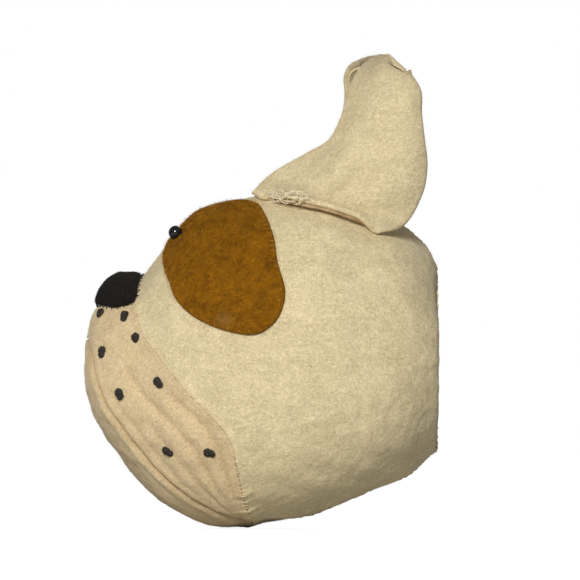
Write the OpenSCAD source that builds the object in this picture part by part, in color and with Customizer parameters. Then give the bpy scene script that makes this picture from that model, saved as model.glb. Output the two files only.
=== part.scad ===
// Hand puppet: the head of a dog in wool felt, worn on one hand, with a mouth that opens.
// The dog faces -X and its left side is toward -Y. The origin is the middle of the hand
// opening, in the plane of the hem. Lengths are in millimetres and angles in degrees.

/* [Head] */
// Length of the head, from the hem to the front of the muzzle
head_length = 176; // [150:1:215]
// Height of the crown above the middle of the hand opening
crown_height = 84; // [72:1:102]
// Depth of the throat below the middle of the hand opening
throat_depth = 82; // [70:1:100]
// Width of the head across the cheeks
head_width = 144; // [124:1:174]

/* [Cloth] */
// Thickness of the outer wool felt
felt = 3; // [2:0.1:4]
// Thickness of the mouth lining and of the ear lining
lining = 1.5; // [0.8:0.1:2.5]
// Thickness of the card that stiffens the mouth
card = 1; // [0.6:0.1:2]
// Thickness of the cotton of the hand sleeve
cotton = 0.8; // [0.5:0.1:2]
// Thickness of the stuffing round the hand, as a share of the distance to the head's axis
stuffing_share = 0.22; // [0.14:0.01:0.26]

/* [Hand opening] */
// Radius of the opening inside the hem
opening_radius = 40; // [36:0.5:44]
// Thickness of the rolled hem
hem_wall = 3; // [2:0.1:4]
// Length of the rolled hem
hem_length = 12; // [8:0.5:16]
// Length of the cotton sleeve ahead of the hem
sleeve_length = 62; // [50:1:74]

/* [Mouth] */
// Gap between the lips of the closed mouth
lip_gap = 0.8; // [0.6:0.1:1.5]
// Gap between the chin and the throat, where the felt folds
throat_gap = 3; // [2.5:0.1:5]
// Height of the arch in the mouth plates, which makes room for the thumb below them
thumb_height = 22; // [16:0.5:24]

/* [Face] */
// Height that the stuffed nose stands proud of the muzzle
nose_height = 8; // [4:0.5:10]
// Thickness of the felt eye patch
patch_felt = 1.8; // [1:0.1:3]
// Radius of an eye bead
bead_radius = 3.5; // [2.5:0.1:5]
// Radius of the larger lobe of a whisker knot
knot_radius = 2.1; // [1.4:0.1:2.8]

/* [Ears] */
// Height of the ear above its sewn base
ear_height = 78; // [60:1:96]
// Length of the sewn base of the ear
ear_base = 62; // [52:1:72]
// Gap between the base of the ear and the head, taken up by its stitches
ear_gap = 2.4; // [1.8:0.1:4]

/* [Stitching] */
// Thickness of the sewing thread
thread = 0.7; // [0.4:0.1:1.2]
// Length of a stitch
stitch = 4; // [2.5:0.1:5]

/* [Hidden] */

cream = [0.86, 0.8, 0.65];
muzzle_cream = [0.84, 0.75, 0.57];
brown = [0.5, 0.32, 0.05];
black = [0.13, 0.12, 0.11];
mouth_red = [0.55, 0.16, 0.13];

half_width = head_width / 2;
clearance = 0.3;
rim_radius = opening_radius + hem_wall + clearance;
sleeve_end_radius = 0.84 * opening_radius;

// How far the skin stands outside the rim where the throat curves in to meet it
rim_flare = 4.3;

// Along the head a station runs from 0 at the front of the muzzle to 1 at the hem.
// Each outline is a list of [station, share] with shares of the crown height, the throat
// depth or the half width.
crown_line = [[0, -0.02], [0.08, 0.235], [0.13, 0.335], [0.2, 0.41], [0.26, 0.505],
    [0.31, 0.66], [0.36, 0.815], [0.42, 0.93], [0.53, 1], [0.64, 0.97], [0.78, 0.83],
    [0.88, 0.68], [1, rim_radius / crown_height]];
throat_line = [[0, -0.02], [0.08, -0.265], [0.175, -0.515], [0.26, -0.73], [0.33, -0.89],
    [0.39, -0.975], [0.45, -1], [0.58, -0.93], [0.7, -0.81], [0.82, -0.68],
    [0.92, -(rim_radius + rim_flare) / throat_depth], [1, -rim_radius / throat_depth]];
middle_line = [[0, -0.02], [0.12, -0.12], [0.26, -0.22], [0.45, -0.2], [0.7, -0.08], [1, 0]];
cheek_line = [[0, 0], [0.08, 0.33], [0.175, 0.55], [0.26, 0.68], [0.36, 0.83], [0.47, 0.95],
    [0.58, 1], [0.7, 0.95], [0.82, 0.83],
    [0.9, (rim_radius + 2 * rim_flare) / half_width], [1, rim_radius / half_width]];
squareness_line = [[0, 2], [0.2, 2.25], [0.5, 2.3], [0.8, 2.1], [1, 2]];

// The seams are polar outlines about the middle of the chin, [bearing, reach], with the
// bearing from 0 toward the nose to 180 toward the throat.
chin_station = -0.2;
lip_line = [[0, 0.248], [20, 0.255], [43, 0.222], [60, 0.21], [85, 0.214], [112, 0.246],
    [135, 0.281], [150, 0.288], [165, 0.274], [180, 0.264]];
seam_line = [[0, 0.43], [23, 0.421], [35, 0.408], [51, 0.415], [68, 0.43], [83, 0.424],
    [95, 0.394], [111, 0.357], [124, 0.333], [138, 0.314], [150, 0.3]];
seam_end = 148;

// Smooth curve through the points of a list [[place, value], ...]
function gradient(list, i) =
    let(lo = max(i - 1, 0), hi = min(i + 1, len(list) - 1))
    (list[hi][1] - list[lo][1]) / (list[hi][0] - list[lo][0]);
function span_of(list, at, i = 0) =
    i >= len(list) - 2 || at < list[i + 1][0] ? i : span_of(list, at, i + 1);
function along(list, at) =
    let(i = span_of(list, at), h = list[i + 1][0] - list[i][0], u = (at - list[i][0]) / h)
    (2 * u ^ 3 - 3 * u ^ 2 + 1) * list[i][1]
    + (u ^ 3 - 2 * u ^ 2 + u) * h * gradient(list, i)
    + (3 * u ^ 2 - 2 * u ^ 3) * list[i + 1][1]
    + (u ^ 3 - u ^ 2) * h * gradient(list, i + 1);

// Point of the head's outer face. The station is the distance of [a, b] from the chart's
// middle, and the direction of [a, b] goes round the head: a toward the crown, b to the left.
function height_of(share) = share * (share > 0 ? crown_height : throat_depth);
function skin(c) =
    let(
        s = norm(c),
        turn = atan2(c[1], c[0]),
        n = along(squareness_line, s),
        top = height_of(along(crown_line, s)),
        bottom = height_of(along(throat_line, s)),
        middle = height_of(along(middle_line, s)),
        reach = (abs(cos(turn)) ^ n + abs(sin(turn)) ^ n) ^ (-1 / n),
        rise = cos(turn) > 0 ? top - middle : middle - bottom
    )
    [-head_length * (1 + cos(180 * s)) / 2,
     -half_width * along(cheek_line, s) * reach * sin(turn),
     middle + rise * reach * cos(turn)];
// Height of the upper part of the head's outer face above a point of the floor plan
function skin_height(x, y) =
    let(
        s = acos(-2 * x / head_length - 1) / 180,
        n = along(squareness_line, s),
        top = height_of(along(crown_line, s)),
        middle = height_of(along(middle_line, s)),
        across = abs(y) / (half_width * along(cheek_line, s))
    )
    middle + (top - middle) * (1 - across ^ n) ^ (1 / n);
function unit(v) = v / norm(v);
function outward(c) =
    let(e = 0.004)
    unit(cross(skin(c + [0, e]) - skin(c - [0, e]), skin(c + [e, 0]) - skin(c - [e, 0])));
function under(c, depth) = skin(c) - depth * outward(c);

// Chart point at a bearing and reach from the middle of the chin
function chart(bearing, reach) = [chin_station + reach * cos(bearing), reach * sin(bearing)];
function rim_reach(bearing) =
    -chin_station * cos(bearing) + sqrt(1 - (chin_station * sin(bearing)) ^ 2);
function lip_reach(bearing) = along(lip_line, abs(bearing));
// Millimetres of skin for each unit of reach at the lips
function lip_scale(bearing) =
    let(e = 0.005, r = lip_reach(bearing))
    norm(skin(chart(bearing, r + e)) - skin(chart(bearing, r - e))) / (2 * e);
function lip_edge(bearing, shift) = lip_reach(bearing) + shift / lip_scale(bearing);
function seam_reach(bearing) =
    abs(bearing) < seam_end ? along(seam_line, abs(bearing))
    : lip_edge(bearing, throat_gap) + (180 - abs(bearing)) / (180 - seam_end)
        * (along(seam_line, seam_end) - lip_edge(seam_end, throat_gap));
function mix(p, q, u) = p + (q - p) * u;
function flat(rows) = [for (row = rows) each row];

// Closed solid between two grids of points, the first one on the outside
module sheet_solid(outer, inner) {
    rows = len(outer);
    cols = len(outer[0]);
    m = rows * cols;
    walls = concat(
        [for (i = [0 : rows - 2]) [i * cols, (i + 1) * cols]],
        [for (j = [0 : cols - 2]) [(rows - 1) * cols + j, (rows - 1) * cols + j + 1]],
        [for (i = [rows - 1 : -1 : 1]) [i * cols + cols - 1, (i - 1) * cols + cols - 1]],
        [for (j = [cols - 1 : -1 : 1]) [j, j - 1]]
    );
    polyhedron(
        points = concat(flat(outer), flat(inner)),
        faces = concat(
            [for (i = [0 : rows - 2]) for (j = [0 : cols - 2])
                let(k = i * cols + j)
                each [[k, k + cols, k + cols + 1], [k, k + cols + 1, k + 1]]],
            [for (i = [0 : rows - 2]) for (j = [0 : cols - 2])
                let(k = m + i * cols + j)
                each [[k, k + cols + 1, k + cols], [k, k + 1, k + cols + 1]]],
            [for (w = walls) each [[w[0], w[0] + m, w[1] + m], [w[0], w[1] + m, w[1]]]]
        )
    );
}

// Closed solid between two rounds of rings, each with its middle point first
module disc_solid(outer, inner) {
    rings = len(outer) - 1;
    n = len(outer[1]);
    m = rings * n + 1;
    edge = (rings - 1) * n + 1;
    polyhedron(
        points = concat(flat(outer), flat(inner)),
        faces = concat(
            [for (j = [0 : n - 1])
                each [[0, 1 + j, 1 + (j + 1) % n], [m, m + 1 + (j + 1) % n, m + 1 + j]]],
            [for (i = [0 : rings - 2]) for (j = [0 : n - 1])
                let(k = 1 + i * n + j, l = 1 + i * n + (j + 1) % n)
                each [[k, k + n, l + n], [k, l + n, l],
                      [m + k, m + l + n, m + k + n], [m + k, m + l, m + l + n]]],
            [for (j = [0 : n - 1])
                let(k = edge + j, l = edge + (j + 1) % n)
                each [[k, m + k, m + l], [k, m + l, l]]]
        )
    );
}

// Felt cut along a band of bearings, between two reaches, from one depth to another
module felt_band(bearings, rows, near, far, depth_out, depth_in) {
    function grid(depth) = [for (i = [0 : rows]) [for (g = bearings)
        under(chart(g, mix(near(g), far(g), i / rows)), depth)]];
    sheet_solid(grid(depth_out), grid(depth_in));
}

// Things sewn on the head: children stand on the skin, +Z outward, +X along a chart direction
module on_skin(c, lift, way) {
    z = outward(c);
    x0 = skin(c + 0.01 * way) - skin(c - 0.01 * way);
    x = unit(x0 - (x0 * z) * z);
    y = cross(z, x);
    p = skin(c) + lift * z;
    multmatrix([[x[0], y[0], z[0], p[0]], [x[1], y[1], z[1], p[1]], [x[2], y[2], z[2], p[2]]])
        children();
}
module stitch_bar(length) {
    rotate([0, 90, 0]) cylinder(d = thread, h = length, center = true, $fn = 16);
}

// Head panels
panel_bearings = concat([for (i = [0 : 15]) seam_end * i / 16],
    [for (i = [0 : 5]) mix(seam_end, 180, i / 5)]);
module left_head_side() {
    color(cream)
        felt_band(panel_bearings, 13, function(g) seam_reach(g), function(g) rim_reach(g), 0, felt);
}
module right_head_side() {
    color(cream) mirror([0, 1, 0]) left_head_side();
}
muzzle_bearings = [for (i = [-18 : 18]) seam_end * i / 18];
module muzzle_panel() {
    color(muzzle_cream)
        felt_band(muzzle_bearings, 5, function(g) lip_edge(g, lip_gap / 2),
            function(g) seam_reach(g) - 0.001, 0, felt);
}

// Stuffing: from under the felt to the room left for the hand
hollow = 1 - stuffing_share;
stuffing_slack = 0.6;
function hollowed(p) = [mix(-head_length / 2, p[0], 0.86), p[1] * hollow, p[2] * hollow];
stuffing_bearings = [for (i = [-12 : 12]) 118 * i / 12];
module stuffing_band(near, far, rows) {
    function at(g, i) = chart(g, mix(near(g), far(g), i / rows));
    sheet_solid(
        [for (i = [0 : rows]) [for (g = stuffing_bearings) under(at(g, i), felt + stuffing_slack)]],
        [for (i = [0 : rows]) [for (g = stuffing_bearings) hollowed(skin(at(g, i)))]]
    );
}
module crown_stuffing() {
    color("white")
        stuffing_band(function(g) seam_reach(g) + 0.02, function(g) 0.82 * rim_reach(g), 7);
}
module muzzle_stuffing() {
    color("white")
        stuffing_band(function(g) lip_edge(g, 14), function(g) seam_reach(g) + 0.01, 3);
}

// Hand opening
module along_x() {
    rotate([0, -90, 0]) children();
}
module wrist_hem() {
    color(cream) along_x() rotate_extrude($fn = 96)
        translate([opening_radius, 0]) square([hem_wall, hem_length]);
}
module hand_sleeve() {
    color("ivory") along_x() rotate_extrude($fn = 96) polygon([
        [opening_radius, hem_length],
        [opening_radius + cotton, hem_length],
        [sleeve_end_radius + cotton, hem_length + sleeve_length],
        [sleeve_end_radius, hem_length + sleeve_length]
    ]);
}
hem_stitch_count = 36;
module hem_stitches() {
    color("tan") for (i = [0 : hem_stitch_count - 1])
        rotate([360 * i / hem_stitch_count, 0, 0])
            translate([thread / 2, 0, rim_radius]) rotate([0, 90, 90]) rotate([0, 0, 30])
                cylinder(d = thread, h = stitch, center = true, $fn = 16);
}

// Mouth plates: they lie across the lip line, arched for the thumb at the back
function front_lip() = skin(chart(0, lip_reach(0)));
function back_lip() = skin(chart(180, lip_reach(180)));
mouth_middle = mix(front_lip(), back_lip(), 0.5);
mouth_run = unit(back_lip() - front_lip());
mouth_up = [-mouth_run[2], 0, mouth_run[0]];
arch_start = 135;
function thumb_arch(g) =
    abs(g) < arch_start ? 0
    : thumb_height * (1 - cos(180 * (abs(g) - arch_start) / (180 - arch_start))) / 2;
function plate_edge(g, depth) =
    under(chart(g, lip_reach(g)), depth) + thumb_arch(g) * mouth_up;
function plate_point(g, f, depth, lift) =
    let(r = plate_edge(g, depth) - mouth_middle, up = r * mouth_up)
    mouth_middle + (r - up * mouth_up) * f
    + (up * f ^ 2 + thumb_height * (1 - f ^ 2) + lift) * mouth_up;
disc_bearings = [for (i = [0 : 31]) -180 + 360 * i / 32];
card_rings = [0.18, 0.36, 0.54, 0.72, 0.9];
plate_gap = lip_gap / 2 + 0.2;
roof_depth = felt + 0.2;
floor_depth = felt + 1.6;
// The roof and the floor share their rings, and the roof has one more at the felt's inner face
function plate_rings(shares, lift) = concat([[plate_point(0, 0, floor_depth, lift)]],
    [for (f = shares) [for (g = disc_bearings) plate_point(g, f, floor_depth, lift)]]);
function roof_rings(lift) = concat(plate_rings(concat(card_rings, [1]), lift),
    [[for (g = disc_bearings) plate_point(g, 1, roof_depth, lift)]]);
module mouth_roof() {
    color(mouth_red) disc_solid(roof_rings(plate_gap), roof_rings(plate_gap + lining));
}
module palate_card() {
    color("tan") disc_solid(plate_rings(card_rings, plate_gap + lining),
        plate_rings(card_rings, plate_gap + lining + card));
}
module mouth_floor() {
    shares = concat(card_rings, [1]);
    color(mouth_red)
        disc_solid(plate_rings(shares, -plate_gap - lining), plate_rings(shares, -plate_gap));
}
module jaw_card() {
    color("tan") disc_solid(plate_rings(card_rings, -plate_gap - lining - card),
        plate_rings(card_rings, -plate_gap - lining));
}

// Lower jaw
module jaw_disc(share, depth_out, depth_in) {
    function rings(depth) = concat([[under([chin_station, 0], depth)]],
        [for (i = [1 : 6]) [for (g = disc_bearings)
            under(chart(g, lip_edge(g, -lip_gap / 2) * share * i / 6), depth)]]);
    disc_solid(rings(depth_out), rings(depth_in));
}
module chin_panel() {
    color(cream) jaw_disc(1, 0, felt);
}
module jaw_padding() {
    color("white") jaw_disc(0.8, felt + clearance, felt + clearance + 2.5);
}

// Nose: a stuffed felt pad with a straight lower edge, wrapped over the muzzle
nose_half = 0.163;
nose_corner = 0.188;
nose_front = 0.13;
nose_back = 0.266;
nose_felt = 2;
nose_seat = 0.8;
function nose_chart(q, v) =
    [mix(mix(nose_front, nose_corner, q ^ 2), mix(nose_back, nose_corner, q ^ 2), v),
     nose_half * q];
function nose_bulge(q, v) = (1 - q ^ 2) ^ 0.5 * (sin(180 * v ^ 0.8)) ^ 0.6;
nose_across = [for (i = [-9 : 9]) 0.97 * sin(10 * i)];
module nose_pad() {
    color(black) sheet_solid(
        [for (i = [0 : 8]) [for (q = nose_across)
            under(nose_chart(q, i / 8), -nose_seat - nose_felt
                - (nose_height - nose_felt) * nose_bulge(q, i / 8))]],
        [for (i = [0 : 8]) [for (q = nose_across) under(nose_chart(q, i / 8), -nose_seat)]]
    );
}
nose_stitch_count = 7;
module nose_stitches() {
    color("dimgray") for (i = [-nose_stitch_count : nose_stitch_count])
        on_skin(nose_chart(0.9 * i / nose_stitch_count, 0) - [0.007, 0], thread / 2 + 0.1, [1, 0])
            stitch_bar(0.3 * stitch);
}

// Eye patch on the left side: a felt disc inside a smooth closed outline of chart points
patch_middle = [0.3, 0.28];
patch_outline = [[0.44, 0.1], [0.455, 0.19], [0.43, 0.275], [0.385, 0.355], [0.33, 0.415],
    [0.265, 0.475], [0.195, 0.497], [0.147, 0.478], [0.142, 0.43], [0.158, 0.36], [0.19, 0.293],
    [0.235, 0.23], [0.278, 0.15], [0.32, 0.075], [0.385, 0.045]];
function closed_curve(list, at) =
    let(
        n = len(list),
        k = floor(at),
        u = at - k,
        p = list[(k + n - 1) % n],
        q = list[k % n],
        r = list[(k + 1) % n],
        t = list[(k + 2) % n]
    )
    q + (r - p) * u / 2 + (2 * p - 5 * q + 4 * r - t) * u ^ 2 / 2
    + (3 * q - p - 3 * r + t) * u ^ 3 / 2;
function patch_chart(at, f) = mix(patch_middle, closed_curve(patch_outline, at), f);
patch_rings = 6;
patch_sides = 2 * len(patch_outline);
module eye_patch() {
    function rings(depth) = concat([[under(patch_middle, depth)]],
        [for (i = [1 : patch_rings]) [for (j = [0 : patch_sides - 1])
            under(patch_chart(j / 2, i / patch_rings), depth)]]);
    color(brown) disc_solid(rings(-clearance), rings(-clearance - patch_felt));
}
patch_stitch_count = 30;
module patch_stitches() {
    color("saddlebrown") for (i = [0 : patch_stitch_count - 1])
        let(
            c = patch_chart(i * len(patch_outline) / patch_stitch_count, 1),
            way = unit(c - patch_middle)
        )
            on_skin(c + 0.012 * way, thread / 2 + 0.15, way) stitch_bar(0.6 * stitch);
}

// Eye beads: each a ball that sits on a flat washer
eye_chart = [0.324, 0.134];
module eye_bead(lift) {
    on_skin(eye_chart, lift, [1, 0]) color(black) union() {
        translate([0, 0, bead_radius]) sphere(r = bead_radius, $fn = 48);
        cylinder(r = 0.6 * bead_radius, h = 0.4 * bead_radius, $fn = 32);
    }
}
module left_eye_bead() {
    eye_bead(patch_felt + 2 * clearance);
}
module right_eye_bead() {
    mirror([0, 1, 0]) eye_bead(clearance);
}

// Whisker knots: [bearing, share of the way from the lip to the seam]
knots = [[14, 0.42], [24, 0.82], [34, 0.9], [28, 0.28], [46, 0.36], [52, 0.84], [80, 0.38],
    [85, 0.77]];
module knot_lobe(r) {
    rotate_extrude($fn = 24)
        polygon([[0, 0], for (i = [0 : 5]) [r * cos(18 * i), 0.75 * r * sin(18 * i)], [0, 0.75 * r]]);
}
module whisker_knots() {
    color(black) for (k = knots)
        on_skin(chart(k[0], mix(lip_reach(k[0]), seam_reach(k[0]), k[1])), 0.2, [1, 0.35]) {
            translate([0.45 * knot_radius, 0, 0]) knot_lobe(knot_radius);
            translate([-0.6 * knot_radius, 0.3 * knot_radius, 0]) knot_lobe(0.85 * knot_radius);
        }
}
module left_whisker_knots() {
    whisker_knots();
}
module right_whisker_knots() {
    mirror([0, 1, 0]) whisker_knots();
}

// Seam stitching
seam_stitch_count = 14;
seam_stitch_start = 26;
module muzzle_seam_stitches() {
    color("wheat") for (side = [0, 1]) mirror([0, side, 0])
        for (i = [0 : seam_stitch_count - 1])
            let(g = mix(seam_stitch_start, seam_end - 6, i / (seam_stitch_count - 1)))
                on_skin(chart(g, seam_reach(g)), thread / 2 + 0.25, [cos(g), sin(g)])
                    stitch_bar(0.9 * stitch);
}
crown_stitch_count = 14;
module crown_seam_stitches() {
    color("wheat") for (i = [0 : crown_stitch_count - 1])
        on_skin([mix(0.34, 0.9, i / (crown_stitch_count - 1)), 0], thread / 2 + 0.25, [0, 1])
            stitch_bar(0.9 * stitch);
}

// Ears: a felt leaf with a lining. Across it runs from the front edge to the back edge, and
// up it from the sewn base to the tip. Places are shares of the base and of the height.
ear_front = [-0.52 * head_length, 0.99 * crown_height + 0.85 * ear_gap];
ear_lift = 1.5 * ear_gap;
ear_front_line = [[0, -0.03, 0], [0.12, 0.12, 0.16], [0.28, 0.4, 0.285], [0.42, 0.6, 0.375],
    [0.56, 0.69, 0.52], [0.7, 0.71, 0.64], [0.84, 0.7, 0.75], [1, 0.77, 0.85]];
ear_back_line = [[0, 0.99, -0.227], [0.12, 1.2, -0.2], [0.28, 1.34, -0.03], [0.42, 1.4, 0.16],
    [0.56, 1.41, 0.34], [0.7, 1.4, 0.5], [0.84, 1.36, 0.66], [1, 1.2, 0.83]];
function pair_along(list, at) =
    [along([for (k = list) [k[0], k[1]]], at), along([for (k = list) [k[0], k[2]]], at)];
ear_side_line = [[0, 0.18], [0.2, 0.31], [0.4, 0.4], [0.6, 0.43], [0.8, 0.445], [1, 0.46]];
function ear_leaf(u, v) =
    let(
        edge = mix(pair_along(ear_front_line, v), pair_along(ear_back_line, v), u),
        side = half_width * along(ear_side_line, u) * (1 - 0.25 * v)
            + 9 * sin(180 * v) * sin(180 * (0.2 + 0.6 * u)) - 5 * v ^ 2 * cos(180 * u)
    )
    [ear_front[0] + edge[0] * ear_base, -side - ear_gap,
     ear_front[1] + edge[1] * ear_height + 5 * sin(180 * u) * v ^ 6];
// The base of the leaf is lifted or lowered to follow the skin below it
function ear_middle(u, v) =
    let(leaf = ear_leaf(u, v), base = ear_leaf(u, 0))
    leaf + [0, 0, (skin_height(base[0], base[1]) + ear_lift - base[2]) * (1 - v) ^ 2];
function ear_outward(u, v) =
    let(e = 0.01)
    unit(cross(ear_middle(u, v + e) - ear_middle(u, v - e),
        ear_middle(u + e, v) - ear_middle(u - e, v)));
module ear_layer(near, far) {
    function grid(d) = [for (i = [0 : 12]) [for (j = [0 : 8])
        ear_middle(j / 8, i / 12) + d * ear_outward(j / 8, i / 12)]];
    sheet_solid(grid(far), grid(near));
}
module ear_felt() {
    color(cream) ear_layer(0, felt);
}
module ear_lining() {
    color(cream) ear_layer(-lining - 0.05, -0.05);
}
module left_ear_felt() {
    ear_felt();
}
module left_ear_lining() {
    ear_lining();
}
module right_ear_felt() {
    mirror([0, 1, 0]) ear_felt();
}
module right_ear_lining() {
    mirror([0, 1, 0]) ear_lining();
}
ear_stitch_line = [[0, 0.122], [0.03, 0.177], [0.06, 0.212], [0.09, 0.242], [0.13, 0.272],
    [0.16, 0.307], [0.19, 0.34]];
ear_stitch_station = 0.49;
ear_stitch_count = 13;
module ear_stitches() {
    color("wheat") for (i = [0 : ear_stitch_count - 1])
        let(a = 0.19 * i / (ear_stitch_count - 1))
            on_skin([ear_stitch_station + a, along(ear_stitch_line, a)], thread / 2 + 0.12,
                [-0.3, 1])
                stitch_bar(0.5 * stitch);
}
module left_ear_stitches() {
    ear_stitches();
}
module right_ear_stitches() {
    mirror([0, 1, 0]) ear_stitches();
}

left_head_side();
right_head_side();
muzzle_panel();
crown_stuffing();
muzzle_stuffing();
hand_sleeve();
wrist_hem();
hem_stitches();
mouth_roof();
palate_card();
chin_panel();
mouth_floor();
jaw_card();
jaw_padding();
nose_pad();
nose_stitches();
eye_patch();
patch_stitches();
left_eye_bead();
right_eye_bead();
left_whisker_knots();
right_whisker_knots();
muzzle_seam_stitches();
crown_seam_stitches();
left_ear_felt();
left_ear_lining();
right_ear_felt();
right_ear_lining();
left_ear_stitches();
right_ear_stitches();
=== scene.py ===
# Hand puppet: a dog's head in wool felt, with a mouth that opens and ears that flop.
# Places are worked out in millimetres on the head's chart, as in the CAD, and become metres
# when a mesh is made. The dog faces -X, its left side is toward -Y and +Z is up.
import bmesh
import bpy
import numpy as np
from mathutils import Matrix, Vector


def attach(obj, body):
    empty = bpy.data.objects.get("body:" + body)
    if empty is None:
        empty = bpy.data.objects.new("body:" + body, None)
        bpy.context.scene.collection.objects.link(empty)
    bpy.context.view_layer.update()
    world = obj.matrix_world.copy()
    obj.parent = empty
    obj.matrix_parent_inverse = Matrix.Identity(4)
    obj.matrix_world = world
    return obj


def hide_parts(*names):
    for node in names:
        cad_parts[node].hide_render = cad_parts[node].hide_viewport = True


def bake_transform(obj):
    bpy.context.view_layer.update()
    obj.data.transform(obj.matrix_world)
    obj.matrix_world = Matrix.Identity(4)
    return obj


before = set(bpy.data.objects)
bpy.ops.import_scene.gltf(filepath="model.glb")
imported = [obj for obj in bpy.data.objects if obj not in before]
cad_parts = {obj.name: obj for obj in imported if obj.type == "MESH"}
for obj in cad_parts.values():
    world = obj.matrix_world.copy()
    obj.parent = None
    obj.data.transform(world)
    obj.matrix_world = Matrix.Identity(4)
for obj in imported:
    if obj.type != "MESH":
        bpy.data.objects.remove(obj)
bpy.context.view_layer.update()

MM = 0.001

# ------------------------ sizes, as in the CAD
HEAD_LENGTH, CROWN, THROAT, HALF_WIDTH = 176.0, 84.0, 82.0, 72.0
FELT, LINING, COTTON, STUFFING_SHARE = 3.0, 1.5, 0.8, 0.22
OPENING_RADIUS, HEM_WALL, HEM_LENGTH, SLEEVE_LENGTH = 40.0, 3.0, 12.0, 62.0
LIP_GAP, THROAT_GAP, THUMB_HEIGHT = 0.8, 3.0, 22.0
NOSE_HEIGHT, NOSE_SEAT = 8.0, 0.8
PATCH_FELT, CLEARANCE, BEAD_RADIUS, KNOT_RADIUS = 1.8, 0.3, 3.5, 2.1
EAR_HEIGHT, EAR_BASE, EAR_GAP = 78.0, 62.0, 2.4
THREAD = 0.7
RIM = OPENING_RADIUS + HEM_WALL + CLEARANCE
RIM_FLARE = 4.3
SLEEVE_END = 0.84 * OPENING_RADIUS

# Outlines of the head: [station, share of the crown height, throat depth or half width]
CROWN_LINE = [[0, -0.02], [0.08, 0.235], [0.13, 0.335], [0.2, 0.41], [0.26, 0.505],
              [0.31, 0.66], [0.36, 0.815], [0.42, 0.93], [0.53, 1], [0.64, 0.97],
              [0.78, 0.83], [0.88, 0.68], [1, RIM / CROWN]]
THROAT_LINE = [[0, -0.02], [0.08, -0.265], [0.175, -0.515], [0.26, -0.73], [0.33, -0.89],
               [0.39, -0.975], [0.45, -1], [0.58, -0.93], [0.7, -0.81], [0.82, -0.68],
               [0.92, -(RIM + RIM_FLARE) / THROAT], [1, -RIM / THROAT]]
MIDDLE_LINE = [[0, -0.02], [0.12, -0.12], [0.26, -0.22], [0.45, -0.2], [0.7, -0.08], [1, 0]]
CHEEK_LINE = [[0, 0], [0.08, 0.33], [0.175, 0.55], [0.26, 0.68], [0.36, 0.83], [0.47, 0.95],
              [0.58, 1], [0.7, 0.95], [0.82, 0.83],
              [0.9, (RIM + 2 * RIM_FLARE) / HALF_WIDTH], [1, RIM / HALF_WIDTH]]
SQUARENESS_LINE = [[0, 2], [0.2, 2.25], [0.5, 2.3], [0.8, 2.1], [1, 2]]

# Seams: [bearing round the middle of the chin, reach from it]
CHIN_STATION = -0.2
LIP_LINE = [[0, 0.248], [20, 0.255], [43, 0.222], [60, 0.21], [85, 0.214], [112, 0.246],
            [135, 0.281], [150, 0.288], [165, 0.274], [180, 0.264]]
SEAM_LINE = [[0, 0.43], [23, 0.421], [35, 0.408], [51, 0.415], [68, 0.43], [83, 0.424],
             [95, 0.394], [111, 0.357], [124, 0.333], [138, 0.314], [150, 0.3]]
SEAM_END = 148.0

PATCH_MIDDLE = [0.3, 0.28]
PATCH_OUTLINE = [[0.44, 0.1], [0.455, 0.19], [0.43, 0.275], [0.385, 0.355], [0.33, 0.415],
                 [0.265, 0.475], [0.195, 0.497], [0.147, 0.478], [0.142, 0.43],
                 [0.158, 0.36], [0.19, 0.293], [0.235, 0.23], [0.278, 0.15], [0.32, 0.075],
                 [0.385, 0.045]]
EYE_CHART = (0.324, 0.134)
KNOTS = [[14, 0.435], [24, 0.82], [34, 0.9], [28, 0.28], [46, 0.36], [52, 0.84], [80, 0.38],
         [85, 0.77]]
# Not the CAD's: NOSE_CORNER is 0.188 there and NOSE_FRONT 0.13
NOSE_HALF, NOSE_CORNER, NOSE_FRONT, NOSE_BACK = 0.163, 0.196, 0.125, 0.266

EAR_FRONT = (-0.52 * HEAD_LENGTH, 0.99 * CROWN + 0.85 * EAR_GAP)
EAR_FRONT_LINE = [[0, -0.03, 0], [0.12, 0.12, 0.16], [0.28, 0.4, 0.285], [0.42, 0.6, 0.375],
                  [0.56, 0.69, 0.52], [0.7, 0.71, 0.64], [0.84, 0.7, 0.75], [1, 0.77, 0.85]]
EAR_BACK_LINE = [[0, 0.99, -0.227], [0.12, 1.2, -0.2], [0.28, 1.34, -0.03],
                 [0.42, 1.4, 0.16], [0.56, 1.41, 0.34], [0.7, 1.4, 0.5], [0.84, 1.36, 0.66],
                 [1, 1.2, 0.83]]
EAR_SIDE_LINE = [[0, 0.18], [0.2, 0.31], [0.4, 0.4], [0.6, 0.43], [0.8, 0.445], [1, 0.46]]
EAR_LIFT = 1.5 * EAR_GAP
EAR_HINGE = (-61.7, -25.5, 76.4)
EAR_AXIS = (0.921, -0.2924, -0.2575)


# ------------------------ the head's chart
def along(table, at, column=1):
    """Smooth curve through the points of a table."""
    place = np.array([row[0] for row in table], float)
    value = np.array([row[column] for row in table], float)
    slope = np.empty(len(place))
    slope[1:-1] = (value[2:] - value[:-2]) / (place[2:] - place[:-2])
    slope[0] = (value[1] - value[0]) / (place[1] - place[0])
    slope[-1] = (value[-1] - value[-2]) / (place[-1] - place[-2])
    at = np.asarray(at, float)
    i = np.clip(np.searchsorted(place, at, side="right") - 1, 0, len(place) - 2)
    h = place[i + 1] - place[i]
    u = (at - place[i]) / h
    return ((2 * u**3 - 3 * u**2 + 1) * value[i] + (u**3 - 2 * u**2 + u) * h * slope[i]
            + (3 * u**2 - 2 * u**3) * value[i + 1] + (u**3 - u**2) * h * slope[i + 1])


def height_of(share):
    return np.where(share > 0, share * CROWN, share * THROAT)


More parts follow.
